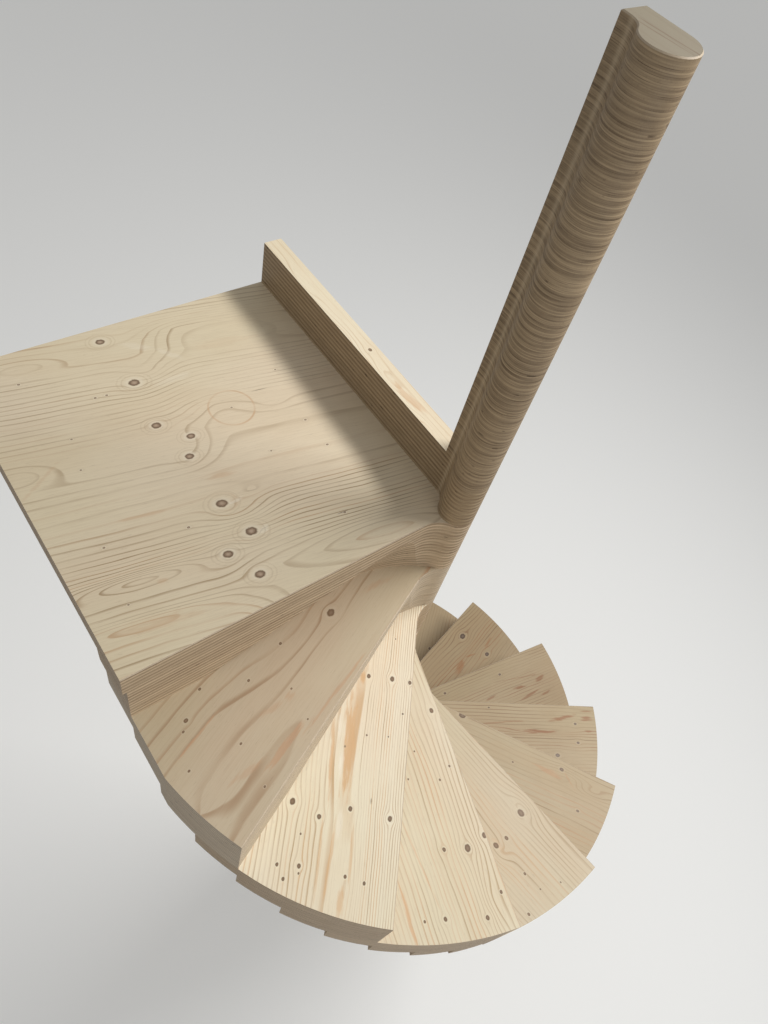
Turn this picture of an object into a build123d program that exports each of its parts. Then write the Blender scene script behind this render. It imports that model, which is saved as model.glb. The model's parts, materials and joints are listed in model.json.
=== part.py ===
from build123d import *
from math import sqrt, sin, cos, tan, acos, atan2, radians, degrees
import os

os.makedirs("parts", exist_ok=True)

# Overall stair, millimetres.  The newel axis is Z, the floor is z = 0.
riser = 200.0               # height of one step
risers = 13                 # floor to landing
courses_per_riser = 3       # bonded boards stacked in one step
turn = 24.4                 # degrees turned by each step
landing_front = 180.0       # degrees, the landing's front edge runs out along -X
tread_radius = 874.0        # newel axis to the outer ends of the treads
newel_radius = 48.0
hollow_radius = 80.0        # swept hollow between a front edge and the newel

# Toe room: under each nosing a leaning cone is carved out of the front face, so the
# face keeps its full height at the outer end and only a lip beside the newel.
toe_apex_out = 80.0         # newel axis to the cone's tip, along the nosing
toe_apex_front = 29.0       # tip in front of the nosing
toe_apex_above = 32.5       # tip above the tread
toe_swing = 54.2            # degrees the cone's axis swings from the nosing to the front
toe_lean = 45.8             # degrees the axis leans from the plumb
toe_spread = 51.9           # half angle of the cone
toe_length = 420.0          # tip to base, past the foot of the step
toe_flats = 96              # flats round the whole cone

# Landing, upstand and newel above the landing.
landing_left = 869.0        # newel axis to the floor opening
landing_back = 925.0        # newel axis to the wall
trim_gap = 9.0              # courses under the landing edge stop short by this
upstand_width = 54.0
upstand_courses = 2
stub_length = 90.0          # newel axis to the end of the newel's flat tail
tail_hollow = 40.0          # hollow between the tail and the round of the newel
newel_above = 1100.0        # landing surface to the newel top
cap_height = 100.0 / 3.0
section_courses = (5, 5, 4)
edge_break = 2.0            # sanded edges of the nosings and the newel cap

# Sizes that follow.
course = riser / courses_per_riser
landing_top = riser * risers
axis_to_tangent = sqrt(newel_radius ** 2 + 2 * newel_radius * hollow_radius)
hollow_angle = degrees(atan2(hollow_radius, axis_to_tangent))
touch_angle = degrees(acos(newel_radius / tread_radius))
toe_radius = toe_length * tan(radians(toe_spread))
tail_x = newel_radius - upstand_width
tail_cx = tail_x - tail_hollow
tail_cy = sqrt((newel_radius + tail_hollow) ** 2 - tail_cx ** 2)


def polar(radius, angle):
    return (radius * cos(radians(angle)), radius * sin(radians(angle)))


def hollow_mid(edge):
    """Middle of the hollow where a front edge sweeps into the newel."""
    centre = polar(newel_radius + hollow_radius, edge + hollow_angle)
    reach = polar(hollow_radius, edge + hollow_angle / 2.0 - 135.0)
    return (centre[0] + reach[0], centre[1] + reach[1])


def wedge_outline(front, width):
    """Outline of one tread course: its front sweeps into the newel, its back touches it."""
    back = front - width
    round_start = front + hollow_angle
    round_end = back - touch_angle + 360.0
    front_near, front_far = polar(axis_to_tangent, front), polar(tread_radius, front)
    newel_a, newel_b = polar(newel_radius, round_start), polar(newel_radius, round_end)
    back_far = polar(tread_radius, back)
    Line(newel_b, back_far)
    ThreePointArc(back_far, polar(tread_radius, front - width / 2.0), front_far)
    Line(front_far, front_near)
    ThreePointArc(front_near, hollow_mid(front), newel_a)
    ThreePointArc(newel_a, polar(newel_radius, (round_start + round_end) / 2.0), newel_b)


def beyond_opening():
    """What the floor opening leaves off the courses just under the landing."""
    with Locations((-landing_left + trim_gap, 0)):
        Rectangle(tread_radius, 2 * tread_radius, align=(Align.MAX, Align.CENTER), mode=Mode.SUBTRACT)


def landing_outline():
    """Outline of the square landing, its front edge sweeping into the newel."""
    near = (-axis_to_tangent, 0)
    newel_a = polar(newel_radius, landing_front + hollow_angle)
    Line((newel_radius, 0), (newel_radius, landing_back))
    Line((newel_radius, landing_back), (-landing_left, landing_back))
    Line((-landing_left, landing_back), (-landing_left, 0))
    Line((-landing_left, 0), near)
    ThreePointArc(near, hollow_mid(landing_front), newel_a)
    ThreePointArc(newel_a, polar(newel_radius, 270.0 + hollow_angle / 2.0), (newel_radius, 0))


def tail_outline(reach):
    """Outline of the newel above the landing, its flat tail running to reach."""
    touch = newel_radius / (newel_radius + tail_hollow)
    on_round = (tail_cx * touch, tail_cy * touch)
    middle = polar(tail_hollow, degrees(atan2(-tail_cy, -tail_cx)) / 2.0)
    Line((newel_radius, 0), (newel_radius, reach))
    Line((newel_radius, reach), (tail_x, reach))
    Line((tail_x, reach), (tail_x, tail_cy))
    ThreePointArc((tail_x, tail_cy), (tail_cx + middle[0], tail_cy + middle[1]), on_round)
    start = degrees(atan2(on_round[1], on_round[0]))
    ThreePointArc(on_round, polar(newel_radius, (start + 360.0) / 2.0), (newel_radius, 0))


def step_plane(front, level):
    """Plane at a level whose -X axis runs out along a step's front edge."""
    return Plane(origin=(0, 0, level), x_dir=(*polar(-1.0, front), 0), z_dir=(0, 0, 1))


def toe_plane(front, top):
    """Plane at the tip of a step's toe carving, its Z axis down the middle of the cone."""
    tip = step_plane(front, top).from_local_coords(
        Vector(-toe_apex_out, -toe_apex_front, toe_apex_above))
    across = polar(sin(radians(toe_lean)), front + toe_swing)
    return Plane(origin=tip, z_dir=(*across, -cos(radians(toe_lean))))


def toe_carving(front, top):
    """The air under a step's nosing: a cone of many narrow flats, closed by its base."""
    place = toe_plane(front, top)
    tip = place.from_local_coords(Vector(0, 0, 0))
    rim = [place.from_local_coords(Vector(*polar(toe_radius, flat * 360.0 / toe_flats), toe_length))
           for flat in range(toe_flats)]
    flats = [Face(Wire.make_polygon((tip, rim[flat - 1], rim[flat]))) for flat in range(toe_flats)]
    return Solid(Shell(flats + [Face(Wire.make_polygon(rim))]))


def nosing_cut(front, top, reach):
    """The sliver sanded off a nosing, from the hollow out to reach."""
    start = step_plane(front, top).from_local_coords(Vector(-axis_to_tangent, 0, 0))
    out = Vector(*polar(1.0, front), 0)
    with BuildPart() as cut:
        with BuildSketch(Plane(origin=start, x_dir=(0, 0, 1), z_dir=out)):
            RegularPolygon(edge_break, 4)
        extrude(amount=reach)
    return cut.part


def save(piece, name):
    piece.label = name
    export_step(piece, "parts/" + name + ".step")


# Treads, counted up from the floor.  The three courses of a step share one
# front face and each course starts one third of a turn further round below.
for number in range(1, risers):
    front = landing_front + turn * (risers - number)
    carving = toe_carving(front, riser * number)
    sanding = nosing_cut(front, riser * number, tread_radius)
    for row, place in enumerate(("top", "middle", "bottom")):
        width = turn * (courses_per_riser + 1 - row) / courses_per_riser
        base = riser * number - course * (row + 1)
        with BuildPart() as tread:
            with BuildSketch(Plane.XY.offset(base)):
                with BuildLine():
                    wedge_outline(front, width)
                make_face()
                if number == risers - 1:
                    beyond_opening()
            extrude(amount=course)
            add(carving, mode=Mode.SUBTRACT)
            if row == 0:
                add(sanding, mode=Mode.SUBTRACT)
        save(tread.part, "tread_%02d_%s" % (number, place))

# Landing: a square panel over two courses of the same wedge.
carving = toe_carving(landing_front, landing_top)
with BuildPart() as landing_panel:
    with BuildSketch(Plane.XY.offset(landing_top - course)):
        with BuildLine():
            landing_outline()
        make_face()
    extrude(amount=course)
    add(carving, mode=Mode.SUBTRACT)
    add(nosing_cut(landing_front, landing_top, landing_left), mode=Mode.SUBTRACT)
save(landing_panel.part, "landing_panel")

for row, place in ((1, "middle"), (2, "bottom")):
    width = turn * (courses_per_riser + 1 - row) / courses_per_riser
    with BuildPart() as landing_course:
        with BuildSketch(Plane.XY.offset(landing_top - course * (row + 1))):
            with BuildLine():
                wedge_outline(landing_front, width)
            make_face()
            beyond_opening()
        extrude(amount=course)
        add(carving, mode=Mode.SUBTRACT)
    save(landing_course.part, "landing_%s" % place)

# Upstand along the open side of the landing, one board with the newel.
for row in range(upstand_courses):
    with BuildPart() as upstand:
        with BuildSketch(Plane.XY.offset(landing_top + course * row)):
            with BuildLine():
                tail_outline(landing_back)
            make_face()
        extrude(amount=course)
    save(upstand.part, "upstand_%s" % ("lower", "upper")[row])

# Newel above the upstand, and its top board.
level = landing_top + course * upstand_courses
top_level = landing_top + newel_above
for index, count in enumerate(section_courses):
    last = index == len(section_courses) - 1
    height = top_level - cap_height - level if last else course * count
    with BuildPart() as newel:
        with BuildSketch(Plane.XY.offset(level)):
            with BuildLine():
                tail_outline(stub_length)
            make_face()
        extrude(amount=height)
    save(newel.part, "newel_section_%d" % (index + 1))
    level += height

with BuildPart() as newel_cap:
    with BuildSketch(Plane.XY.offset(top_level - cap_height)):
        with BuildLine():
            tail_outline(stub_length)
        make_face()
    extrude(amount=cap_height)
    chamfer(newel_cap.faces().sort_by(Axis.Z)[-1].edges(), edge_break)
save(newel_cap.part, "newel_cap")
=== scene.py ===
# Looks of the spiral staircase: stacked softwood plywood, its faces sanded and its edges left plain.
# Every piece is a solid of the frame.  Lengths are in metres, colours are 8-bit sRGB.
import bpy
import bmesh
import json
from math import radians
from mathutils import Matrix, Vector

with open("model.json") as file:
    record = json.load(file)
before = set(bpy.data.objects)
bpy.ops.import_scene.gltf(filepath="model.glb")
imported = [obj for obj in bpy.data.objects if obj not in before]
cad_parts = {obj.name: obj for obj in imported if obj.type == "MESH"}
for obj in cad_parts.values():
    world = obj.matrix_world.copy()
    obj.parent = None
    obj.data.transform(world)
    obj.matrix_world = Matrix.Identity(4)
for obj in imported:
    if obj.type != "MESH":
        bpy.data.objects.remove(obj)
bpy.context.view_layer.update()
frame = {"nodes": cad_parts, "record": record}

riser = 0.2                       # one step up
board = riser / 3.0               # thickness of one stacked board
veneers = 20                      # veneers in one board, laid crosswise two by two
turn = 24.4                       # degrees from one nosing to the next
landing_step = 13                 # the landing counts as the last step
landing_top = riser * landing_step
landing_grain = -10.0             # degrees from X to the landing's face grain
upstand_grain = 90.0              # the same on the upstand and the newel
pin_size = 0.0040                 # knots of a smaller radius are pins, and don't bend the rings
knot_squeeze = (0.78, 1.0, 0.0)   # knots are a little longer along the grain
no_knot = 2500.0                  # squared distance, in radii, that stands for no knot at all
hollow_rim = (-0.0075, 0.066)     # where the newel's round runs into its hollow, in plan
hollow_rim_highlight_reach = 1.0 / 170.0        # how far the painted highlight on that rim reaches
sheet_shift = (3.1, 1.7, 0.0)     # how the figure moves from a sheet to one below it
relief = 0.0006                   # depth of the fibres and the cut veneers
floor_reach = 20.0

crack_colour = (70, 52, 36)
gap_colour = (66, 48, 34)         # gaps and knots caught in the cut edges
glue_colour = (70, 51, 35)
rim_colour = (80, 61, 42)         # the dark ring round a knot
knot_highlight_colour = (204, 180, 156)    # painted highlight in the middle of a large knot
halo_colour = (240, 230, 210)     # the wood that a knot presses aside
pale_colour = (244, 236, 218)     # streaks where the face shines
cool_colour = (246, 249, 238)     # multiplies the cooler patches of a face
sanded_highlight_colour = (226, 212, 190)   # the narrow flats of broken edges: paler sanded wood and a painted highlight
hollow_rim_highlight_colour = (226, 206, 174)   # painted highlight along the rim of the newel's hollow


def nosing(step):
    """Angle at which a step's nosing runs out from the newel, which its face grain follows."""
    return 180.0 + turn * (landing_step - step)


def linear(r, g, b):
    """An 8-bit sRGB colour as linear RGBA."""
    out = []
    for v in (r, g, b):
        v = v / 255.0
        out.append(v / 12.92 if v <= 0.04045 else ((v + 0.055) / 1.055) ** 2.4)
    return (out[0], out[1], out[2], 1.0)


class Bench:
    """Adds nodes to one tree; every step returns the socket it makes."""

    def __init__(self, tree):
        self.tree = tree

    def put(self, value, socket):
        if isinstance(value, bpy.types.NodeSocket):
            self.tree.links.new(value, socket)
        else:
            socket.default_value = value

    def node(self, kind, **settings):
        made = self.tree.nodes.new(kind)
        for key, value in settings.items():
            setattr(made, key, value)
        return made

    def call(self, group_tree, **values):
        """Places a group and fills its inputs."""
        made = self.node("ShaderNodeGroup", node_tree=group_tree)
        for key, value in values.items():
            self.put(value, made.inputs[key])
        return made.outputs

    def math(self, operation, a, b=None, c=None, clamp=False):
        made = self.node("ShaderNodeMath", operation=operation, use_clamp=clamp)
        for value, socket in zip((a, b, c), made.inputs):
            if value is not None:
                self.put(value, socket)
        return made.outputs[0]

    def times(self, a, b):
        return self.math("MULTIPLY", a, b)

    def plus(self, a, b):
        return self.math("ADD", a, b)

    def minus(self, a, b):
        return self.math("SUBTRACT", a, b)

    def vector(self, operation, a, b=None, scale=None):
        made = self.node("ShaderNodeVectorMath", operation=operation)
        self.put(a, made.inputs[0])
        if b is not None:
            self.put(b, made.inputs[1])
        if scale is not None:
            self.put(scale, made.inputs["Scale"])
        return made.outputs["Value"] if operation in ("LENGTH", "DOT_PRODUCT") else made.outputs[0]

    def split(self, vector):
        made = self.node("ShaderNodeSeparateXYZ")
        self.put(vector, made.inputs[0])
        return made.outputs[0], made.outputs[1], made.outputs[2]

    def join(self, x, y, z):
        made = self.node("ShaderNodeCombineXYZ")
        for value, socket in zip((x, y, z), made.inputs):
            self.put(value, socket)
        return made.outputs[0]

    def noise(self, vector, detail=1.0, rough=0.5):
        """Noise about zero, from roughly -0.5 to 0.5."""
        made = self.node("ShaderNodeTexNoise", noise_dimensions="3D")
        self.put(vector, made.inputs["Vector"])
        made.inputs["Scale"].default_value = 1.0
        made.inputs["Detail"].default_value = detail
        made.inputs["Roughness"].default_value = rough
        return self.minus(made.outputs[0], 0.5)

    def chance(self, value):
        """A random number from 0 to 1 for each whole value."""
        made = self.node("ShaderNodeTexWhiteNoise", noise_dimensions="1D")
        self.put(value, made.inputs["W"])
        return made.outputs[0]

    def ramp(self, value, low, high, to_low=0.0, to_high=1.0, shape="SMOOTHSTEP"):
        made = self.node("ShaderNodeMapRange", interpolation_type=shape)
        for v, name in zip((value, low, high, to_low, to_high),
                           ("Value", "From Min", "From Max", "To Min", "To Max")):
            self.put(v, made.inputs[name])
        return made.outputs[0]

    def mix(self, amount, a, b, blend="MIX"):
        made = self.node("ShaderNodeMix", data_type="RGBA", blend_type=blend)
        self.put(amount, made.inputs[0])
        self.put(a, made.inputs[6])
        self.put(b, made.inputs[7])
        return made.outputs[2]


def group(name, inputs, outputs):
    """An empty shader node group with its sockets: (tree, bench, input sockets, output sockets)."""
    tree = bpy.data.node_groups.new(name, "ShaderNodeTree")
    for label, kind in inputs.items():
        tree.interface.new_socket(name=label, in_out="INPUT", socket_type="NodeSocket" + kind)
    for label, kind in outputs.items():
        tree.interface.new_socket(name=label, in_out="OUTPUT", socket_type="NodeSocket" + kind)
    b = Bench(tree)
    return tree, b, b.node("NodeGroupInput").outputs, b.node("NodeGroupOutput").inputs


def knot_reach(b, i):
    """The way from a knot's centre, and its squared length in the knot's radii."""
    away = b.vector("SUBTRACT", i["Place"], i["Centre"])
    flat = b.vector("MULTIPLY", away, knot_squeeze)
    far = b.math("DIVIDE", b.vector("DOT_PRODUCT", flat, flat), i["Radius"])
    return away, b.math("DIVIDE", far, i["Radius"])


def pin_group():
    """One pin knot: its squared distance in its own radii, kept where it is the nearest."""
    tree, b, i, o = group("pin knot",
                          {"Place": "Vector", "Centre": "Vector", "Radius": "Float", "Near": "Float"},
                          {"Near": "Float"})
    away, far = knot_reach(b, i)
    b.put(b.math("MINIMUM", i["Near"], far), o["Near"])
    return tree


def knot_group():
    """One knot: as a pin knot, and it pushes the rings aside as a stone parts a stream."""
    tree, b, i, o = group("knot",
                          {"Place": "Vector", "Centre": "Vector", "Radius": "Float",
                           "Near": "Float", "Push": "Float"},
                          {"Near": "Float", "Push": "Float"})
    away, far = knot_reach(b, i)
    b.put(b.math("MINIMUM", i["Near"], far), o["Near"])
    part = b.math("DIVIDE", b.split(away)[1], b.math("MULTIPLY_ADD", far, 0.21, 0.3))
    fade = b.math("EXPONENT", b.times(far, -0.023))
    b.put(b.math("MULTIPLY_ADD", part, fade, i["Push"]), o["Push"])
    return tree


def swell_group():
    """Adds a bell to a value.  On the ring number, rings close round it as flames and boats."""
    tree, b, i, o = group("swell",
                          {"Place": "Vector", "Centre": "Vector", "Shrink": "Vector", "Lift": "Float",
                           "Value": "Float"},
                          {"Value": "Float"})
    away = b.vector("MULTIPLY", b.vector("SUBTRACT", i["Place"], i["Centre"]), i["Shrink"])
    bell = b.math("EXPONENT", b.times(b.vector("DOT_PRODUCT", away, away), -1.0))
    b.put(b.math("MULTIPLY_ADD", bell, i["Lift"], i["Value"]), o["Value"])
    return tree


def streak_group():
    """One streak along the grain, such as a stain or a crack: a long ellipse with frayed ends."""
    tree, b, i, o = group("streak",
                          {"Place": "Vector", "Fray": "Float", "Centre": "Vector", "Length": "Float",
                           "Width": "Float", "Lean": "Float", "Strength": "Float", "Streak": "Float"},
                          {"Streak": "Float"})
    x, y, _ = b.split(b.vector("SUBTRACT", i["Place"], i["Centre"]))
    y = b.math("DIVIDE", b.math("MULTIPLY_ADD", x, i["Lean"], y), i["Width"])
    x = b.math("DIVIDE", x, i["Length"])
    away = b.math("SQRT", b.math("MULTIPLY_ADD", x, x, b.times(y, y)))
    mask = b.times(b.ramp(b.plus(away, i["Fray"]), 1.1, 0.35), i["Strength"])
    b.put(b.math("MAXIMUM", i["Streak"], mask), o["Streak"])
    return tree


def face_group():
    """Softwood face veneer: ring lines, fibres, stains, cracks and knots."""
    tree, b, i, o = group("softwood face",
                          {"Place": "Vector", "Rings": "Float", "Near": "Float", "Stain": "Float",
                           "Crack": "Float", "Pale": "Float", "Heart": "Float", "Seed": "Float",
                           "Band": "Float", "Contrast": "Float",
                           "Light": "Color", "Dark": "Color", "Tan": "Color", "Knot": "Color"},
                          {"Color": "Color", "Roughness": "Float", "Height": "Float"})
    x, y, z = b.split(i["Place"])
    z = b.plus(z, i["Seed"])
    ring = b.math("FRACT", i["Rings"])
    number = b.math("FLOOR", i["Rings"])
    # Latewood darkens slowly and stops sharply; each ring has its own strength and hue.
    late = b.times(b.ramp(ring, b.minus(0.96, i["Band"]), 0.93), b.ramp(ring, 1.0, 0.95))
    strong = b.math("MULTIPLY_ADD", b.chance(b.plus(number, 0.37)), 0.75, 0.25)
    drift = b.noise(b.join(b.times(x, 4.5), b.times(y, 12.0), b.plus(z, 9.0)), 2.0)
    line = b.times(b.times(late, strong), b.ramp(drift, -0.16, 0.14, 0.30, 1.0))
    line = b.times(line, b.ramp(i["Near"], 1.1, 1.7))
    line = b.math("MULTIPLY", line, i["Contrast"], clamp=True)
    hue = b.ramp(b.chance(b.plus(number, 5.71)), 0.45, 0.95, 0.0, 0.75)
    # Patches of warmer and cooler wood, then fibres and short dark flecks.
    cloud = b.noise(b.join(b.times(x, 3.0), b.times(y, 8.0), b.plus(z, 4.0)), 2.0)
    sheet = b.noise(b.join(b.times(x, 1.7), b.times(y, 3.1), b.plus(z, 2.0)), 1.0)
    hair = b.noise(b.join(b.times(x, 14.0), b.times(y, 430.0), z), 2.0, 0.6)
    fleck = b.noise(b.join(b.times(x, 46.0), b.times(y, 640.0), z), 1.0)
    color = b.mix(b.ramp(cloud, -0.12, 0.2, 0.0, 0.13), i["Light"], i["Tan"])
    color = b.mix(b.ramp(sheet, -0.2, 0.2, 0.0, 0.5), color, linear(*cool_colour), "MULTIPLY")
    color = b.mix(line, color, b.mix(hue, i["Dark"], i["Tan"]))
    color = b.mix(b.times(i["Stain"], b.math("MULTIPLY_ADD", ring, 0.25, 0.70)), color, i["Tan"])
    color = b.mix(b.times(i["Pale"], 0.70), color, linear(*pale_colour))
    color = b.mix(b.ramp(hair, -0.10, 0.22, 0.0, 0.14), color, i["Dark"])
    color = b.mix(b.ramp(fleck, 0.17, 0.28, 0.0, 0.20), color, i["Knot"])
    color = b.mix(b.times(i["Crack"], 0.85), color, linear(*crack_colour))
    # Knots: closed rings, a pale halo, a dark rim and a brown heart with a lighter centre, which is a
    # painted highlight.
    wobble = b.noise(b.vector("SCALE", i["Place"], scale=150.0), 1.0)
    near = b.math("MULTIPLY_ADD", wobble, 0.40, i["Near"])
    hoop = b.math("FRACT", b.math("DIVIDE", near, 0.85))
    hoop = b.times(b.ramp(hoop, 0.45, 0.85), b.ramp(hoop, 1.0, 0.88))
    hoop = b.times(hoop, b.times(b.ramp(near, 1.5, 1.8), b.ramp(near, 4.3, 2.6)))
    color = b.mix(b.times(b.times(hoop, 0.22), i["Heart"]), color, i["Dark"])
    halo = b.times(b.ramp(near, 2.1, 1.35), b.ramp(near, 1.0, 1.15))
    color = b.mix(b.times(b.times(halo, 0.24), i["Heart"]), color, linear(*halo_colour))
    core = b.ramp(near, 1.20, 0.84)
    rim = b.times(b.ramp(near, 0.55, 0.90), core)
    knot_highlight = b.times(b.ramp(near, 0.75, 0.10, 0.0, 0.60), i["Heart"])
    inner = b.mix(knot_highlight, i["Knot"], linear(*knot_highlight_colour))
    rim = b.times(rim, b.math("MULTIPLY_ADD", i["Heart"], 0.44, 0.10))
    inner = b.mix(rim, inner, linear(*rim_colour))
    color = b.mix(b.times(core, 0.93), color, inner)
    b.put(color, o["Color"])
    rough = b.math("MULTIPLY_ADD", cloud, 0.14, b.math("MULTIPLY_ADD", line, -0.06, 0.54))
    b.put(b.math("MULTIPLY_ADD", core, -0.12, rough), o["Roughness"])
    # The relief follows the fibres only: the rings of a sanded face are flush.
    b.put(b.minus(b.times(hair, 0.6), b.times(b.ramp(fleck, 0.17, 0.28), 0.5)), o["Height"])
    return tree


def edge_group():
    """Cut edge of the stacked boards: veneers laid crosswise in pairs, half of them end grain."""
    tree, b, i, o = group("board edge",
                          {"Place": "Vector", "Normal": "Vector", "Grain": "Vector", "Seed": "Float",
                           "Turns": "Float", "Luck": "Float", "Strand": "Float",
                           "Light": "Color", "Dark": "Color"},
                          {"Color": "Color", "Roughness": "Float", "Height": "Float"})
    x, y, z = b.split(i["Place"])
    wave = b.noise(b.join(b.times(x, 6.0), b.times(y, 6.0), b.times(z, 14.0)), 1.0)
    level = b.plus(b.math("DIVIDE", z, board), b.times(wave, 0.013))
    stack = b.math("FLOOR", level)
    within = b.times(b.math("FRACT", level), veneers)
    ply = b.math("FLOOR", within)
    part = b.math("FRACT", within)
    count = b.math("MULTIPLY_ADD", stack, veneers, ply)
    # Plies 0 and 1 of every four lie along the face grain, 2 and 3 across it.
    cross = b.math("GREATER_THAN", b.math("MODULO", ply, 4.0), 1.5)
    # End grain shows where the face looks along a veneer's own grain.
    along = b.vector("DOT_PRODUCT", i["Normal"], i["Grain"])
    along = b.math("MINIMUM", b.times(along, along), 1.0)
    end = b.plus(b.times(along, b.minus(1.0, cross)), b.times(b.minus(1.0, along), cross))
    luck = b.chance(b.math("MULTIPLY_ADD", count, 1.37, i["Seed"]))
    shade = b.noise(b.join(b.times(x, 13.0), b.times(y, 13.0), b.times(count, 3.7)), 3.0, 0.6)
    tone = b.math("MULTIPLY_ADD", end, i["Turns"], b.times(luck, i["Luck"]))
    strand = b.noise(b.join(b.times(x, 11.0), b.times(y, 11.0), b.times(z, 560.0)), 1.0)
    tone = b.math("MULTIPLY_ADD", strand, i["Strand"], tone)
    tone = b.math("MULTIPLY_ADD", shade, 0.75, tone, clamp=True)
    color = b.mix(tone, i["Light"], i["Dark"])
    pores = b.noise(b.join(b.times(x, 700.0), b.times(y, 700.0), b.times(z, 320.0)), 1.0)
    color = b.mix(b.times(b.ramp(pores, -0.05, 0.3), b.math("MULTIPLY_ADD", end, 0.14, 0.04)),
                  color, i["Dark"], "MULTIPLY")
    # Short gaps and knots caught in the end-grain veneers.
    gap = b.noise(b.join(b.times(x, 38.0), b.times(y, 38.0), b.times(count, 5.1)), 1.0)
    gap = b.times(b.ramp(gap, 0.20, 0.27), b.ramp(end, 0.2, 0.7))
    color = b.mix(b.times(gap, 0.62), color, linear(*gap_colour))
    # Some glue lines are dark and thin, some hardly show, and all of them break off in places.
    side = b.math("MINIMUM", part, b.minus(1.0, part))
    nearest = b.plus(b.math("ROUND", within), b.times(stack, veneers))
    dash = b.noise(b.join(b.times(x, 24.0), b.times(y, 24.0), b.times(nearest, 2.3)), 1.0)
    weight = b.math("POWER", b.chance(b.math("MULTIPLY_ADD", nearest, 1.91, i["Seed"])), 2.0)
    weight = b.math("MULTIPLY_ADD", weight, 0.75, 0.16)
    glue = b.times(b.ramp(side, 0.17, 0.03), b.times(weight, b.ramp(dash, -0.16, 0.12, 0.25, 1.0)))
    color = b.mix(glue, color, linear(*glue_colour))
    b.put(color, o["Color"])
    b.put(b.math("MULTIPLY_ADD", end, 0.10, 0.50), o["Roughness"])
    high = b.minus(b.times(end, -0.35), b.math("MULTIPLY_ADD", glue, 0.35, gap))
    b.put(b.math("MULTIPLY_ADD", pores, -0.5, high), o["Height"])
    return tree


pin_tree = pin_group()
knot_tree = knot_group()
swell_tree = swell_group()
streak_tree = streak_group()
face_tree = face_group()
edge_tree = edge_group()


def pile(b, across, marks, spacing):
    """Ring number across the grain, straight between listed marks and evenly spaced past them."""
    places = [v for v, count in marks]
    gained = [count - v / spacing for v, count in marks]
    rings = b.plus(b.math("DIVIDE", across, spacing), gained[0])
    for low, high, have, want in zip(places, places[1:], gained, gained[1:]):
        rings = b.plus(rings, b.ramp(across, low, high, 0.0, want - have, "LINEAR"))
    return rings


def with_knots(b, grain, knots):
    """Distance to the nearest knot in its radii, and how far all of them push the rings aside."""
    near, push = no_knot, 0.0
    for u, v, radius in knots:
        if radius < pin_size:
            made = b.call(pin_tree, Place=grain, Centre=(u, v, 0.0), Radius=radius, Near=near)
        else:
            made = b.call(knot_tree, Place=grain, Centre=(u, v, 0.0), Radius=radius, Near=near,
                          Push=push)
            push = made["Push"]
        near = made["Near"]
    return b.math("SQRT", near), push


def with_swells(b, grain, swells, value):
    """A value with a bell added to it at each swell."""
    for u, v, length, width, lift in swells:
        value = b.call(swell_tree, Place=grain, Centre=(u, v, 0.0),
                       Shrink=(1.0 / length, 1.0 / width, 0.0), Lift=lift, Value=value)["Value"]
    return value


def with_streaks(b, grain, fray, marks):
    """How strongly any of the marks shows at each place."""
    streak = 0.0
    for u, v, length, width, lean, strength in marks:
        streak = b.call(streak_tree, Place=grain, Fray=fray, Centre=(u, v, 0.0), Length=length,
                        Width=width, Lean=-lean, Strength=strength, Streak=streak)["Streak"]
    return streak


def pressed_circle(b, grain, u, v, radius):
    """A faint worn circle on the face."""
    away = b.vector("MULTIPLY", b.vector("SUBTRACT", grain, (u, v, 0.0)), (1.0, 1.0, 0.0))
    off = b.math("ABSOLUTE", b.minus(b.vector("LENGTH", away), radius))
    worn = b.ramp(b.noise(b.vector("SCALE", grain, scale=17.0), 1.0), -0.12, 0.16, 0.40, 1.0)
    return b.times(b.ramp(off, 0.0038, 0.0008), worn)


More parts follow.
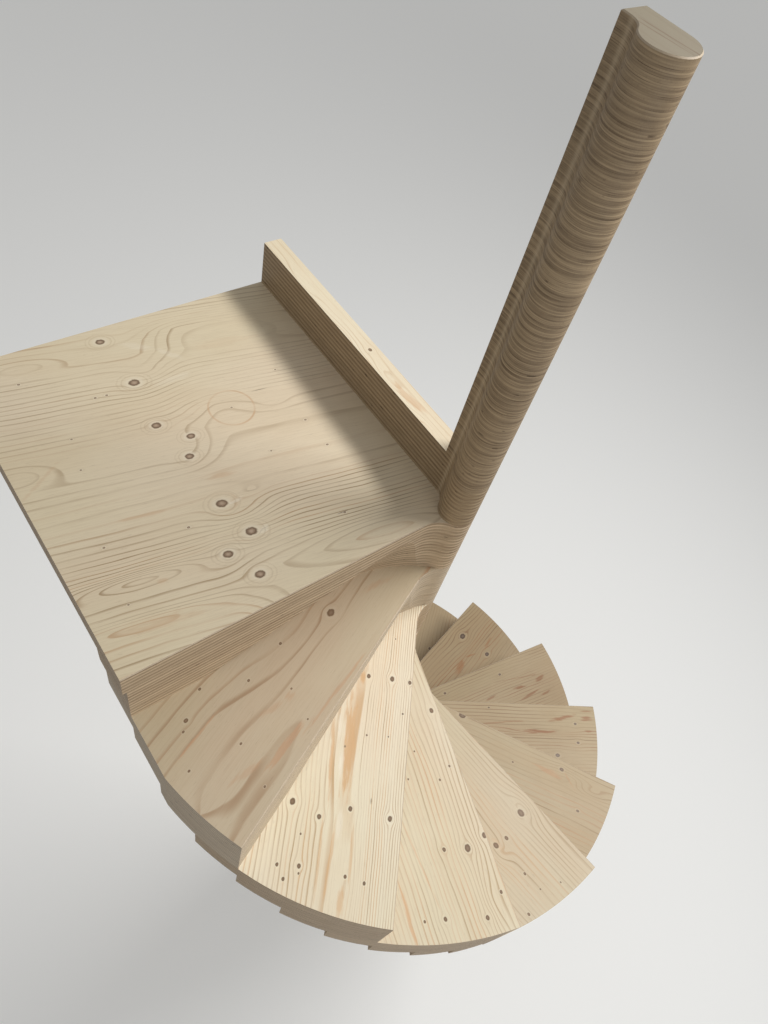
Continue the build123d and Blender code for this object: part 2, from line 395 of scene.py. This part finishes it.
def plywood(name, angle, top, seed, spacing=0.012, swirl=3.0, tremble=0.006, band=0.30, contrast=1.0,
            light=(222, 204, 170), dark=(178, 152, 114), tan=(206, 166, 122), knot=(128, 102, 76),
            edge_light=(216, 193, 161), edge_dark=(113, 86, 60), turns=0.44, luck=0.24, strand=0.10,
            low=((0.0, 0.0),), high=None, seam=(0.0, 1.0), knots=(), swells=(), bold=(),
            stains=(), cracks=(), pales=(), heart=0.25, circle=None, ridge_highlight=0.0):
    """Plywood with its face grain at an angle to X and its upper face at the height top.

    u runs along the grain from the newel axis and v across it.  low and high are marks
    (v, ring number) on either side of the seam, which is a stretch of u, or low serves alone.
    knots are (u, v, radius).  swells are (u, v, length, width, rings gained), and bold places,
    with stronger rings, are (u, v, length, width, contrast gained).  stains, cracks and pales
    are streaks (u, v, length, width, lean, strength).  circle is a faint pressed circle
    (u, v, radius), and heart is how plainly the knots' hearts and halos show; the lighter
    centre of a heart is a painted highlight.  ridge is the strength of a painted highlight
    on the rim of the newel's hollow.  On the edges, turns, luck and strand are the shares of
    the tone that come from end grain, from each veneer and from its strands.
    """
    material = bpy.data.materials.new(name)
    material.use_nodes = True
    tree = material.node_tree
    tree.nodes.clear()
    b = Bench(tree)
    place = b.node("ShaderNodeTexCoord").outputs["Object"]
    turned = b.node("ShaderNodeMapping", vector_type="POINT")
    turned.inputs["Rotation"].default_value = (0.0, 0.0, radians(-angle))
    b.put(place, turned.inputs["Vector"])
    # Each face lower down is another sheet, so its figure is shifted.
    depth = b.minus(top, b.split(place)[2])
    grain = b.vector("ADD", turned.outputs[0], b.vector("SCALE", sheet_shift, scale=depth))
    u, v, w = b.split(grain)
    near, push = with_knots(b, grain, knots)
    wander = b.noise(b.join(b.times(u, 3.0), b.times(v, 9.0), b.plus(w, seed)), 1.0)
    shiver = b.noise(b.join(b.times(u, 13.0), b.times(v, 44.0), b.plus(w, seed)), 1.0)
    bend = b.plus(b.times(wander, 3.0 * tremble), b.times(shiver, tremble))
    across = b.plus(b.minus(v, push), bend)
    rings = pile(b, across, low, spacing)
    if high:
        share = b.ramp(u, seam[0], seam[1])
        rings = b.plus(rings, b.times(share, b.minus(pile(b, across, high, spacing), rings)))
    broad = b.noise(b.join(b.times(u, 1.5), b.times(v, 5.0), b.plus(w, 2.0 * seed)), 1.0, 0.4)
    rings = b.math("MULTIPLY_ADD", broad, swirl, rings)
    rings = with_swells(b, grain, swells, rings)
    contrast = with_swells(b, grain, bold, contrast)
    fray = b.times(b.noise(b.vector("MULTIPLY", grain, (18.0, 130.0, 1.0)), 3.0, 0.6), 2.2)
    stain, crack, pale = [with_streaks(b, grain, fray, marks) for marks in (stains, cracks, pales)]
    if circle:
        stain = b.math("MAXIMUM", stain, pressed_circle(b, grain, *circle))
    face = b.call(face_tree, Place=grain, Rings=rings, Near=near, Stain=stain, Crack=crack,
                  Pale=pale, Heart=heart, Seed=seed, Band=band, Contrast=contrast,
                  Light=linear(*light), Dark=linear(*dark), Tan=linear(*tan), Knot=linear(*knot))
    geometry = b.node("ShaderNodeNewGeometry")
    grain_way = Matrix.Rotation(radians(angle), 3, "Z") @ Vector((1.0, 0.0, 0.0))
    edge = b.call(edge_tree, Place=place, Normal=geometry.outputs["Normal"], Grain=grain_way,
                  Seed=seed, Turns=turns, Luck=luck, Strand=strand, Light=linear(*edge_light),
                  Dark=linear(*edge_dark))
    # Level surfaces show the face veneer and upright ones the edge; the sanded flats between are
    # lightened, partly as paler wood and partly as a painted highlight.
    up = b.math("ABSOLUTE", b.split(geometry.outputs["True Normal"])[2])
    flat = b.ramp(up, 0.86, 0.95)
    sanded_highlight = b.times(b.ramp(up, 0.66, 0.70), b.ramp(up, 0.76, 0.72))
    color = b.mix(flat, edge["Color"], face["Color"])
    color = b.mix(b.times(sanded_highlight, 0.35), color, linear(*sanded_highlight_colour))
    # Painted highlight: the upright faces are lightened round the rim of the newel's hollow.
    if ridge_highlight:
        away = b.vector("SUBTRACT", place, (*hollow_rim, 0.0))
        away = b.vector("MULTIPLY", away, (1.0 / hollow_rim_highlight_reach, 1.0 / hollow_rim_highlight_reach, 0.0))
        hollow_rim_highlight = b.math("EXPONENT", b.times(b.vector("DOT_PRODUCT", away, away), -1.0))
        hollow_rim_highlight = b.times(b.times(hollow_rim_highlight, b.minus(1.0, flat)), ridge_highlight)
        color = b.mix(hollow_rim_highlight, color, linear(*hollow_rim_highlight_colour))
    upright = b.minus(1.0, flat)
    rough = b.plus(b.times(flat, face["Roughness"]), b.times(upright, edge["Roughness"]))
    high_spots = b.plus(b.times(flat, face["Height"]), b.times(upright, edge["Height"]))
    bump = b.node("ShaderNodeBump")
    bump.inputs["Strength"].default_value = 0.25
    bump.inputs["Distance"].default_value = relief
    b.put(high_spots, bump.inputs["Height"])
    shader = b.node("ShaderNodeBsdfPrincipled")
    b.put(color, shader.inputs["Base Color"])
    b.put(rough, shader.inputs["Roughness"])
    b.put(bump.outputs[0], shader.inputs["Normal"])
    shader.inputs["Specular IOR Level"].default_value = 0.35
    b.put(shader.outputs[0], b.node("ShaderNodeOutputMaterial").inputs["Surface"])
    return material


# The newel is cut across every veneer, so its lines differ from veneer to veneer.
# Its edge colours are darker than the other edges', partly its own end grain and partly painted
# shade.
newel_edges = {"edge_light": (184, 161, 129), "edge_dark": (80, 61, 42), "turns": 0.12, "luck": 0.50,
               "strand": 0.55, "ridge_highlight": 0.34}

# One finish for each material slot of the record: the landing, the treads from the top down,
# then what stands on the landing.
finishes = {
    # The landing: dense rings along the back and the front, quiet wood between, knots in a row.
    "landing": plywood(
        "landing plywood", landing_grain, landing_top, seed=1.7, spacing=0.0125, swirl=0.8,
        tremble=0.0045, contrast=0.85, heart=1.0,
        light=(227, 211, 184), dark=(164, 139, 106), tan=(206, 172, 136), knot=(132, 107, 85),
        low=[(-0.20, -14), (-0.06, -7), (-0.02, -4.5), (0.03, -2), (0.07, 0), (0.085, 1.5), (0.10, 3),
             (0.12, 5), (0.14, 6.4), (0.165, 7.6), (0.19, 8.8), (0.22, 10), (0.25, 11), (0.275, 12),
             (0.30, 13), (0.32, 14), (0.345, 15), (0.44, 15.6), (0.455, 16.4), (0.68, 31),
             (0.71, 32.4), (0.76, 32.9), (0.80, 34.3), (0.90, 39)],
        high=[(-0.20, -6.5), (-0.10, -5.0), (0.0, -4.6), (0.04, -3.2), (0.08, -0.5), (0.21, 10),
              (0.24, 11), (0.295, 12.2), (0.42, 13.4), (0.49, 15.5), (0.505, 16.5), (0.64, 27),
              (0.67, 28.7), (0.70, 29.4), (0.78, 30), (0.80, 31.5), (0.82, 33.5), (0.85, 36.5),
              (0.95, 42)],
        seam=(-0.61, -0.44),
        knots=[(-0.659, 0.773, 0.0090), (-0.616, 0.612, 0.0105), (-0.605, 0.461, 0.0090),
               (-0.537, 0.406, 0.0082), (-0.559, 0.347, 0.0082), (-0.532, 0.193, 0.0105),
               (-0.4945, 0.0996, 0.0105), (-0.564, 0.058, 0.0090), (-0.5155, -0.013, 0.0092),
               (-0.876, 0.675, 0.0026), (-0.718, 0.586, 0.0026), (-0.690, 0.588, 0.0024),
               (-0.800, 0.473, 0.0020), (-0.802, 0.378, 0.0020), (-0.247, 0.378, 0.0026),
               (-0.225, 0.286, 0.0026), (-0.367, 0.307, 0.0018), (-0.257, 0.565, 0.0020),
               (-0.268, 0.081, 0.0024), (-0.807, 0.158, 0.0022), (-0.623, 0.153, 0.0026),
               (-0.796, 0.007, 0.0018), (-0.412, 0.468, 0.0020)],
        swells=[(-0.76, 0.055, 0.12, 0.020, -3.5), (-0.20, 0.01, 0.20, 0.045, -3.0),
                (-0.33, 0.735, 0.15, 0.060, -1.7), (-0.86, 0.725, 0.09, 0.028, -2.0),
                (-0.94, 0.39, 0.07, 0.03, -2.2), (-0.59, 0.640, 0.06, 0.035, 2.2),
                (-0.43, 0.470, 0.06, 0.045, -0.9), (-0.30, 0.46, 0.04, 0.025, 0.8),
                (-0.78, -0.045, 0.16, 0.018, -2.2), (-0.545, 0.375, 0.06, 0.045, 0.8),
                (-0.45, 0.21, 0.035, 0.02, 0.8), (-0.49, 0.145, 0.07, 0.05, 2.8)],
        bold=[(-0.22, 0.14, 0.30, 0.075, 1.0), (-0.78, 0.115, 0.16, 0.050, 0.8),
              (-0.70, -0.02, 0.20, 0.040, 0.3), (-0.46, 0.41, 0.14, 0.09, -0.45)],
        circle=(-0.412, 0.468, 0.058),
        stains=[(-0.715, 0.040, 0.014, 0.006, 0.0, 0.5), (-0.509, 0.272, 0.034, 0.014, -0.05, 0.55),
                (-0.707, 0.214, 0.085, 0.006, 0.0, 0.45), (-0.745, -0.054, 0.100, 0.014, 0.0, 0.45),
                (-0.888, 0.374, 0.050, 0.008, 0.9, 0.35), (-0.35, 0.70, 0.10, 0.02, 0.0, 0.2)],
        cracks=[(-0.325, 0.508, 0.022, 0.0014, 0.05, 0.9), (-0.272, 0.083, 0.016, 0.0012, 0.1, 0.8)],
        pales=[(-0.575, 0.735, 0.050, 0.016, -0.5, 0.25), (-0.505, 0.690, 0.040, 0.014, -0.9, 0.25),
               (-0.52, 0.600, 0.050, 0.014, 0.2, 0.25), (-0.495, 0.192, 0.022, 0.006, 0.3, 0.6),
               (-0.465, 0.095, 0.014, 0.012, 0.5, 0.5)]),
    "landing_courses": plywood(
        "landing lower plywood", landing_grain, landing_top - board, seed=57.0, spacing=0.012,
        swirl=3.6,
        knots=[(-0.52, 0.06, 0.006), (-0.34, 0.15, 0.004), (-0.70, 0.12, 0.007)]),
    # Twelfth tread: a few broad lines that slope away and turn back near the outer end.
    # Its face colours are darker and warmer than the next treads', partly its own veneer and partly
    # painted shade under the landing; its lighter edge colours are a painted highlight.
    "tread_12": plywood(
        "twelfth tread plywood", nosing(12), riser * 12, seed=5.2, spacing=0.045, swirl=0.5,
        tremble=0.005, band=0.26, contrast=0.9, edge_light=(218, 202, 177), edge_dark=(158, 134, 106),
        light=(197, 180, 154), dark=(164, 135, 105), tan=(190, 150, 116), knot=(118, 92, 68),
        low=[(-0.36, -5), (-0.20, -2.6), (-0.15, -1.4), (-0.112, 0), (-0.02, 0.6), (0.0, 0.9)],
        high=[(-0.34, -4.6), (-0.245, -2), (-0.215, -1), (-0.13, 0), (-0.108, 0.35), (-0.085, 0.0),
              (-0.05, -0.3), (-0.02, -0.05), (0.0, 0.3)],
        seam=(0.38, 0.72),
        knots=[(0.3165, -0.137, 0.0085), (0.456, -0.191, 0.0032), (0.574, -0.198, 0.0030),
               (0.535, -0.107, 0.0022), (0.5745, -0.0365, 0.0020), (0.702, -0.127, 0.0026),
               (0.749, -0.0315, 0.0024), (0.652, -0.275, 0.0030), (0.726, -0.255, 0.0042),
               (0.749, -0.244, 0.0026), (0.809, -0.182, 0.0026)],
        swells=[(0.93, -0.10, 0.07, 0.06, -1.0)],
        stains=[(0.553, -0.103, 0.020, 0.010, 0.0, 0.6), (0.595, -0.115, 0.040, 0.010, -0.4, 0.5),
                (0.645, -0.043, 0.078, 0.011, -0.05, 0.75), (0.747, -0.080, 0.050, 0.010, -0.35, 0.5),
                (0.48, -0.018, 0.13, 0.005, -0.06, 0.7), (0.745, -0.214, 0.085, 0.004, -0.02, 0.9),
                (0.18, -0.085, 0.05, 0.012, -0.4, 0.5)]),
    # Eleventh tread: fine straight rings by the nosing and a broad tan flame behind them.
    "tread_11": plywood(
        "eleventh tread plywood", nosing(11), riser * 11, seed=8.9, spacing=0.0085, swirl=0.5,
        tremble=0.0022, band=0.42, contrast=1.3,
        light=(236, 225, 202), dark=(186, 158, 122), tan=(216, 178, 134), knot=(108, 83, 59),
        low=[(-0.36, -34), (-0.205, -20.6), (-0.185, -19.2), (-0.160, -18.4), (-0.12, -18.0),
             (-0.115, -17.6), (-0.102, -15.8), (0.0, 0)],
        high=[(-0.36, -35), (-0.205, -21.4), (-0.190, -20.2), (-0.182, -19.6), (-0.162, -19.0),
              (-0.157, -18.4), (-0.118, -18.0), (-0.112, -17.4), (-0.10, -16), (0.0, 0)],
        seam=(0.50, 0.68),
        knots=[(0.634, -0.265, 0.0062), (0.6595, -0.198, 0.0048), (0.703, -0.235, 0.0022),
               (0.775, -0.2775, 0.0034), (0.803, -0.259, 0.0034), (0.772, -0.228, 0.0042),
               (0.787, -0.2265, 0.0022), (0.631, -0.127, 0.0048), (0.780, -0.121, 0.0034),
               (0.7885, -0.076, 0.0034), (0.640, -0.030, 0.0052), (0.288, -0.119, 0.0048),
               (0.285, -0.056, 0.0056), (0.376, -0.020, 0.0024), (0.167, -0.057, 0.0018),
               (0.447, -0.107, 0.0022), (0.442, -0.052, 0.0018), (0.287, -0.008, 0.0044)],
        swells=[(0.80, -0.11, 0.09, 0.03, -1.2)],
        pales=[(0.525, -0.163, 0.042, 0.007, 0.04, 0.95), (0.435, -0.178, 0.036, 0.005, 0.04, 0.85),
               (0.668, -0.149, 0.050, 0.010, 0.0, 0.6)],
        stains=[(0.47, -0.148, 0.16, 0.018, 0.04, 1.0), (0.50, -0.188, 0.120, 0.006, 0.06, 0.9),
                (0.74, -0.160, 0.110, 0.0045, -0.03, 0.8), (0.74, -0.186, 0.110, 0.0040, 0.03, 0.7),
                (0.74, -0.113, 0.095, 0.004, 0.03, 0.6), (0.835, -0.125, 0.035, 0.010, 0.0, 0.85),
                (0.292, -0.133, 0.022, 0.008, 0.0, 0.95)],
        cracks=[(0.605, -0.079, 0.012, 0.0035, 0.0, 0.6), (0.484, -0.158, 0.004, 0.003, 0.0, 0.8)]),
    # Tenth tread: rings that climb gently outwards, closest along the back.
    "tread_10": plywood(
        "tenth tread plywood", nosing(10), riser * 10, seed=12.4, spacing=0.0115, swirl=1.4,
        tremble=0.0035, band=0.40, contrast=1.0,
        light=(226, 214, 190), dark=(180, 154, 118), tan=(214, 174, 134), knot=(112, 84, 58),
        low=[(-0.30, -24), (-0.20, -14.5), (-0.10, -8.5), (0.0, -1.0)],
        high=[(-0.30, -24), (-0.255, -20.5), (-0.225, -18.2), (-0.20, -16), (-0.15, -11),
              (-0.10, -7.2), (0.0, 1.0)],
        seam=(0.20, 0.75),
        knots=[(0.285, -0.021, 0.0058), (0.383, -0.111, 0.0022), (0.4505, -0.154, 0.0022),
               (0.476, -0.069, 0.0028), (0.448, -0.029, 0.0030), (0.647, -0.124, 0.0046),
               (0.6616, -0.0615, 0.0078), (0.7995, -0.1805, 0.0044), (0.789, -0.233, 0.0030),
               (0.829, -0.075, 0.0048), (0.645, -0.005, 0.0060), (0.785, -0.017, 0.0038)],
        swells=[(0.80, -0.045, 0.07, 0.025, 1.6), (0.30, -0.09, 0.10, 0.03, 1.0)],
        stains=[(0.77, -0.268, 0.10, 0.006, -0.04, 0.85), (0.66, -0.197, 0.14, 0.003, 0.1, 0.6)]),
    # From here down to the fourth tread the colours darken step by step: painted shade. The three
    # lowest treads grade back lighter from it.
    # Ninth tread: wide rings that arch over the large knot.
    "tread_09": plywood(
        "ninth tread plywood", nosing(9), riser * 9, seed=15.8, spacing=0.0150, swirl=1.6,
        tremble=0.004, band=0.40, contrast=0.8,
        light=(208, 194, 169), dark=(168, 143, 110), tan=(208, 172, 134), knot=(118, 92, 66),
        low=[(-0.30, -21), (-0.12, -8.6), (0.0, 0.6)],
        high=[(-0.30, -20), (-0.20, -11.5), (-0.10, -6.2), (-0.03, -1), (0.0, 0.2)],
        seam=(0.35, 0.70),
        knots=[(0.625, -0.057, 0.0090), (0.643, -0.145, 0.0050), (0.6355, -0.1845, 0.0070),
               (0.743, -0.1765, 0.0036), (0.800, -0.173, 0.0022), (0.829, -0.113, 0.0022),
               (0.819, -0.248, 0.0036)],
        swells=[(0.61, -0.035, 0.06, 0.028, -2.0), (0.66, -0.185, 0.03, 0.025, 1.6)],
        stains=[(0.635, -0.178, 0.022, 0.012, 0.0, 0.4)]),
    # The treads below: noise makes most of the figure, and knots and stains are listed.
    "tread_08": plywood(
        "eighth tread plywood", nosing(8), riser * 8, seed=19.1, spacing=0.0170, swirl=3.0,
        light=(188, 171, 143), dark=(150, 123, 91), tan=(190, 147, 112), knot=(104, 79, 54),
        knots=[(0.521, -0.082, 0.0028), (0.6855, -0.031, 0.0058), (0.7705, -0.141, 0.0042),
               (0.310, -0.006, 0.0090)],
        swells=[(0.70, -0.050, 0.07, 0.022, -2.5), (0.80, -0.060, 0.06, 0.020, 1.8)],
        stains=[(0.647, -0.058, 0.055, 0.014, 0.0, 0.6), (0.715, -0.052, 0.030, 0.004, -0.9, 0.6),
                (0.350, -0.172, 0.14, 0.012, 0.42, 0.5)]),
    "tread_07": plywood(
        "seventh tread plywood", nosing(7), riser * 7, seed=22.6, spacing=0.0135, swirl=2.6,
        tremble=0.004, contrast=1.1,
        light=(184, 165, 134), dark=(136, 108, 76), tan=(150, 101, 66), knot=(92, 69, 47),
        knots=[(0.787, -0.0725, 0.0044), (0.785, -0.146, 0.0044), (0.695, -0.195, 0.0064),
               (0.45, -0.02, 0.0030)],
        swells=[(0.66, -0.105, 0.12, 0.012, 2.0)],
        stains=[(0.645, -0.106, 0.095, 0.009, 0.0, 0.95), (0.735, -0.052, 0.060, 0.009, 0.25, 0.9),
                (0.835, -0.050, 0.026, 0.010, 0.0, 0.85), (0.835, -0.101, 0.020, 0.006, 0.0, 0.8),
                (0.840, -0.022, 0.030, 0.005, 0.0, 0.7), (0.50, -0.075, 0.10, 0.004, 0.1, 0.6)]),
    "tread_06": plywood(
        "sixth tread plywood", nosing(6), riser * 6, seed=26.0, spacing=0.0125, swirl=4.0,
        tremble=0.007, contrast=1.1,
        light=(176, 156, 124), dark=(132, 104, 74), tan=(140, 93, 58), knot=(90, 67, 46),
        knots=[(0.619, -0.054, 0.0044), (0.359, -0.038, 0.0044), (0.52, -0.20, 0.0036)],
        stains=[(0.666, -0.134, 0.032, 0.008, -0.1, 0.9), (0.775, -0.135, 0.030, 0.012, 0.4, 0.8),
                (0.692, -0.180, 0.055, 0.006, 0.1, 0.8), (0.768, -0.198, 0.030, 0.005, 0.1, 0.8),
                (0.530, -0.129, 0.028, 0.005, 0.1, 0.8), (0.70, -0.10, 0.11, 0.003, -0.2, 0.6)]),
    "tread_05": plywood(
        "fifth tread plywood", nosing(5), riser * 5, seed=29.3, spacing=0.0150, swirl=4.6,
        tremble=0.008, contrast=1.1,
        light=(172, 151, 119), dark=(128, 100, 70), tan=(156, 106, 64), knot=(74, 53, 37),
        knots=[(0.693, -0.0686, 0.0110), (0.700, -0.203, 0.0080)],
        stains=[(0.560, -0.148, 0.050, 0.020, 0.3, 0.8), (0.640, -0.150, 0.030, 0.006, -0.5, 0.7),
                (0.750, -0.175, 0.040, 0.008, 0.2, 0.6)]),
    "tread_04": plywood(
        "fourth tread plywood", nosing(4), riser * 4, seed=32.7, spacing=0.0130, swirl=3.4,
        light=(176, 155, 122), dark=(134, 106, 74), tan=(168, 122, 82), knot=(92, 70, 48),
        knots=[(0.746, -0.081, 0.0060), (0.42, -0.10, 0.0040), (0.60, -0.24, 0.0050)],
        stains=[(0.66, -0.16, 0.09, 0.008, 0.0, 0.6)]),
    "tread_03": plywood(
        "third tread plywood", nosing(3), riser * 3, seed=36.2, spacing=0.0125, swirl=3.8,
        light=(184, 164, 132), dark=(144, 116, 84), tan=(176, 130, 90),
        knots=[(0.55, -0.12, 0.0064), (0.74, -0.25, 0.0040), (0.36, -0.05, 0.0030),
               (0.80, -0.08, 0.0028)],
        stains=[(0.70, -0.10, 0.08, 0.008, 0.05, 0.7), (0.42, -0.14, 0.06, 0.006, 0.0, 0.5)]),
    "tread_02": plywood(
        "second tread plywood", nosing(2), riser * 2, seed=39.8, spacing=0.0100, swirl=3.0,
        light=(194, 175, 142), dark=(154, 126, 92), tan=(186, 141, 100),
        knots=[(0.48, -0.09, 0.0040), (0.66, -0.21, 0.0070), (0.78, -0.12, 0.0030),
               (0.30, -0.06, 0.0030)],
        stains=[(0.58, -0.15, 0.10, 0.007, 0.1, 0.7)]),
    "tread_01": plywood(
        "first tread plywood", nosing(1), riser, seed=43.1, spacing=0.0140, swirl=4.2,
        light=(204, 185, 150), dark=(164, 135, 100), tan=(194, 149, 107),
        knots=[(0.62, -0.05, 0.0046), (0.71, -0.17, 0.0080), (0.45, -0.16, 0.0030),
               (0.80, -0.26, 0.0040)],
        stains=[(0.52, -0.07, 0.08, 0.008, -0.1, 0.7)]),
    # The upstand: soft arches on its narrow top, with a tan streak by the newel, and a painted
    # highlight on its side by the newel's hollow.
    "upstand": plywood(
        "upstand plywood", upstand_grain, landing_top + 2.0 * board, seed=47.0, spacing=0.017,
        swirl=1.6, contrast=0.50, ridge_highlight=0.30,
        light=(238, 225, 198), dark=(196, 166, 128), tan=(214, 172, 130),
        edge_light=(184, 161, 128), edge_dark=(104, 81, 57),
        knots=[(0.45, -0.024, 0.0046), (0.445, 0.012, 0.0016)],
        swells=[(0.17, 0.0, 0.05, 0.013, 1.3), (0.34, -0.008, 0.06, 0.014, -1.5),
                (0.53, 0.006, 0.05, 0.013, 1.2), (0.74, -0.002, 0.07, 0.014, -1.3)],
        stains=[(0.27, -0.016, 0.075, 0.012, 0.12, 0.6), (0.40, 0.012, 0.030, 0.006, -0.2, 0.5)]),
    "newel": plywood("newel plywood", upstand_grain, landing_top + 1.0, seed=51.0, **newel_edges),
    "newel_cap": plywood(
        "newel cap plywood", upstand_grain, landing_top + 1.1, seed=54.0, spacing=0.030,
        swirl=0.8, contrast=0.25,
        light=(152, 141, 123), dark=(134, 118, 99), tan=(124, 103, 82),
        stains=[(0.02, 0.006, 0.07, 0.0022, 0.10, 0.9), (0.01, -0.006, 0.08, 0.0022, 0.10, 0.8)],
        **newel_edges),
}

# Each node takes the finish of its slot in the record.
for part in frame["record"]["subparts"]:
    mesh = frame["nodes"][part["node"]].data
    mesh.materials.clear()
    mesh.materials.append(finishes[part["material_slot"]])


def floor_paint(name, colour, roughness, lift):
    """A plain material; lift is the glow that the camera alone sees."""
    material = bpy.data.materials.new(name)
    material.use_nodes = True
    b = Bench(material.node_tree)
    shader = material.node_tree.nodes["Principled BSDF"]
    shader.inputs["Base Color"].default_value = linear(*colour)
    shader.inputs["Roughness"].default_value = roughness
    shader.inputs["Emission Color"].default_value = linear(*colour)
    seen = b.node("ShaderNodeLightPath").outputs["Is Camera Ray"]
    b.put(b.times(seen, lift), shader.inputs["Emission Strength"])
    return material


floor_mesh = bpy.data.meshes.new("floor")
shape = bmesh.new()
bmesh.ops.create_grid(shape, x_segments=1, y_segments=1, size=floor_reach)
shape.to_mesh(floor_mesh)
shape.free()
floor = bpy.data.objects.new("floor", floor_mesh)
bpy.context.scene.collection.objects.link(floor)
floor.data.materials.append(floor_paint("pale floor", (224, 224, 222), roughness=0.9, lift=0.28))


def soft_light(name, place, aim, width, height, watts, spread, colour):
    """A soft box at a place, turned to its aim."""
    data = bpy.data.lights.new(name, "AREA")
    data.shape = "RECTANGLE"
    data.size = width
    data.size_y = height
    data.energy = watts
    data.spread = radians(spread)
    data.color = colour
    lamp = bpy.data.objects.new(name, data)
    lamp.location = place
    lamp.rotation_euler = (Vector(aim) - Vector(place)).to_track_quat("-Z", "Y").to_euler()
    bpy.context.scene.collection.objects.link(lamp)


# The main light is a wide strip high on the right; a weak one lights the fronts of the steps.
soft_light("main light", place=(3.0, -0.9, 6.0), aim=(-0.4, 0.0, 2.2), width=3.2, height=0.8,
           watts=134.0, spread=140.0, colour=(1.0, 0.995, 0.985))
soft_light("front fill", place=(-0.8, -4.2, 3.4), aim=(0.0, 0.0, 2.0), width=2.4, height=2.4,
           watts=36.0, spread=180.0, colour=(0.98, 0.99, 1.0))

world = bpy.data.worlds.new("studio")
bpy.context.scene.world = world
world.use_nodes = True
backdrop = world.node_tree.nodes["Background"]
backdrop.inputs["Color"].default_value = (1.0, 1.0, 1.0, 1.0)
backdrop.inputs["Strength"].default_value = 0.33

# The camera stands out from the landing's left front corner and looks down into the turn.
focal_pixels = 784.868
picture_pixels = 1024.0
lens = bpy.data.cameras.new("camera")
lens.sensor_fit = "AUTO"
lens.sensor_width = 36.0
lens.lens = focal_pixels / picture_pixels * lens.sensor_width
lens.clip_start = 0.05
lens.clip_end = 100.0
camera = bpy.data.objects.new("camera", lens)
eye = (-1.04344, -0.64414, 4.10428)
right = Vector((0.79696299, -0.57385695, 0.18851576))
above = Vector((0.38492235, 0.7230216, 0.57365019))
ahead = Vector((0.46549412, 0.38461404, -0.79711183))
facing = Matrix((right, above, -ahead)).transposed().to_4x4()
camera.matrix_world = Matrix.Translation(eye) @ facing
bpy.context.scene.collection.objects.link(camera)
bpy.context.scene.camera = camera
bpy.context.scene.view_settings.view_transform = "Standard"
